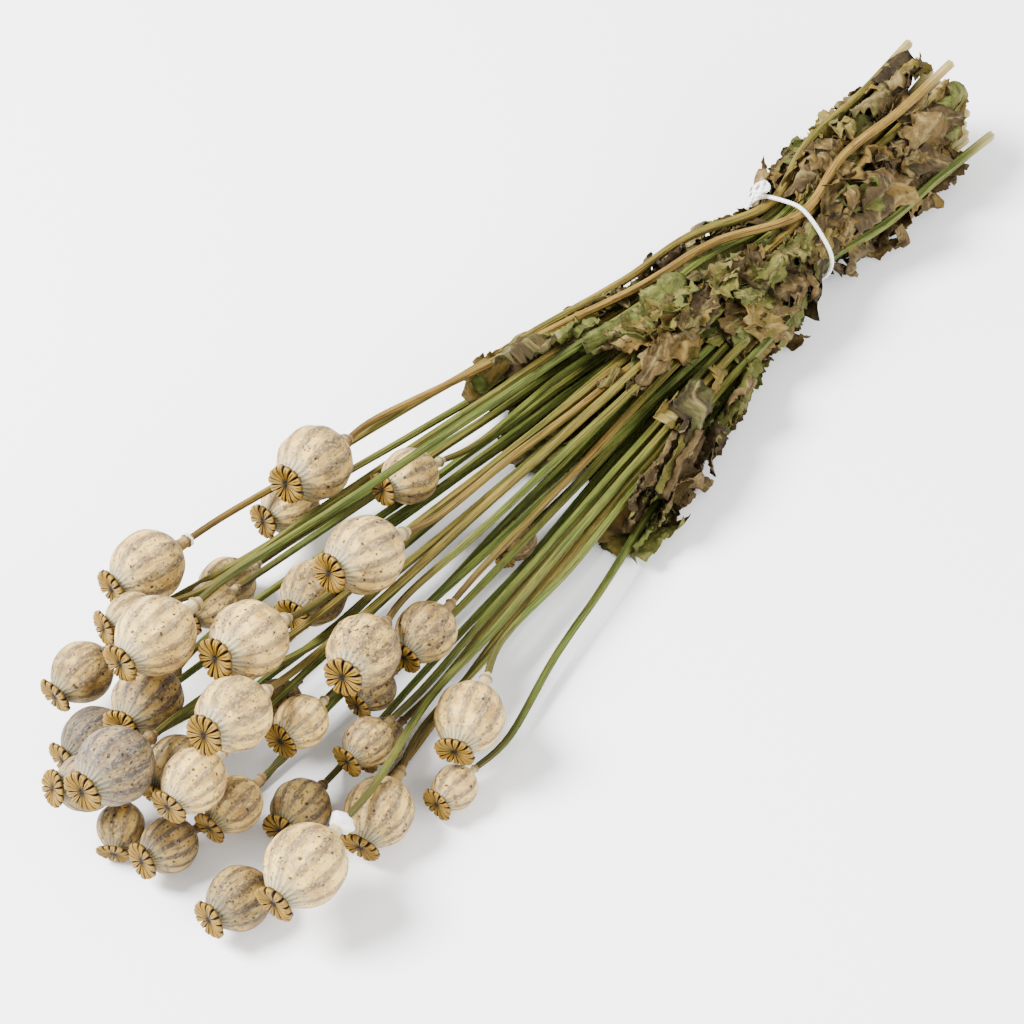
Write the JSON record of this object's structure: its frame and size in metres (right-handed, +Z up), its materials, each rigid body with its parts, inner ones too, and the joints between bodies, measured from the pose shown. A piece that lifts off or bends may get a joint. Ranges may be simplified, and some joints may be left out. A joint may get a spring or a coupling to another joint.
{
  "type": "poppy seed head bunch",
  "caption": "Bunch of dried poppy seed heads on long stems lying on its side, with crumpled leaves round the stems and a twine tie near the cut ends.",
  "frame": {"origin": "on the ground, under the middle of the bunch's bounding box", "axes": "+X runs along the bunch from the seed heads to the cut ends, +Z is up, and +Y is across it"},
  "size_m": [0.6802, 0.2082, 0.0987],
  "materials": {
    "poppy_stalk": "dry matt plant skin, cream capsules on olive brown stems",
    "dry_leaf": "brittle crumpled dry leaf, matt",
    "twine": "twisted soft white string"
  },
  "bodies": {
    "root": {"poppy_01": "poppy_stalk", "poppy_02": "poppy_stalk", "poppy_03": "poppy_stalk", "poppy_04": "poppy_stalk", "poppy_05": "poppy_stalk", "poppy_06": "poppy_stalk", "poppy_07": "poppy_stalk", "poppy_08": "poppy_stalk", "poppy_09": "poppy_stalk", "poppy_10": "poppy_stalk", "poppy_11": "poppy_stalk", "poppy_12": "poppy_stalk", "poppy_13": "poppy_stalk", "poppy_14": "poppy_stalk", "poppy_15": "poppy_stalk", "poppy_16": "poppy_stalk", "poppy_17": "poppy_stalk", "poppy_18": "poppy_stalk", "poppy_19": "poppy_stalk", "poppy_20": "poppy_stalk", "poppy_21": "poppy_stalk", "poppy_22": "poppy_stalk", "poppy_23": "poppy_stalk", "poppy_24": "poppy_stalk", "poppy_25": "poppy_stalk", "poppy_26": "poppy_stalk", "poppy_27": "poppy_stalk", "poppy_28": "poppy_stalk", "poppy_29": "poppy_stalk", "poppy_30": "poppy_stalk", "poppy_31": "poppy_stalk", "poppy_32": "poppy_stalk", "poppy_33": "poppy_stalk", "poppy_34": "poppy_stalk", "poppy_35": "poppy_stalk", "poppy_36": "poppy_stalk", "leaf_01": "dry_leaf", "leaf_02": "dry_leaf", "leaf_03": "dry_leaf", "leaf_04": "dry_leaf", "leaf_05": "dry_leaf", "leaf_06": "dry_leaf", "leaf_07": "dry_leaf", "leaf_08": "dry_leaf", "leaf_09": "dry_leaf", "leaf_10": "dry_leaf", "leaf_11": "dry_leaf", "leaf_12": "dry_leaf", "leaf_13": "dry_leaf", "leaf_14": "dry_leaf", "leaf_15": "dry_leaf", "leaf_16": "dry_leaf", "leaf_17": "dry_leaf", "leaf_18": "dry_leaf", "leaf_19": "dry_leaf", "leaf_20": "dry_leaf", "leaf_21": "dry_leaf", "twine_loop": "twine", "twine_knot": "twine"}
  },
  "joints": []
}
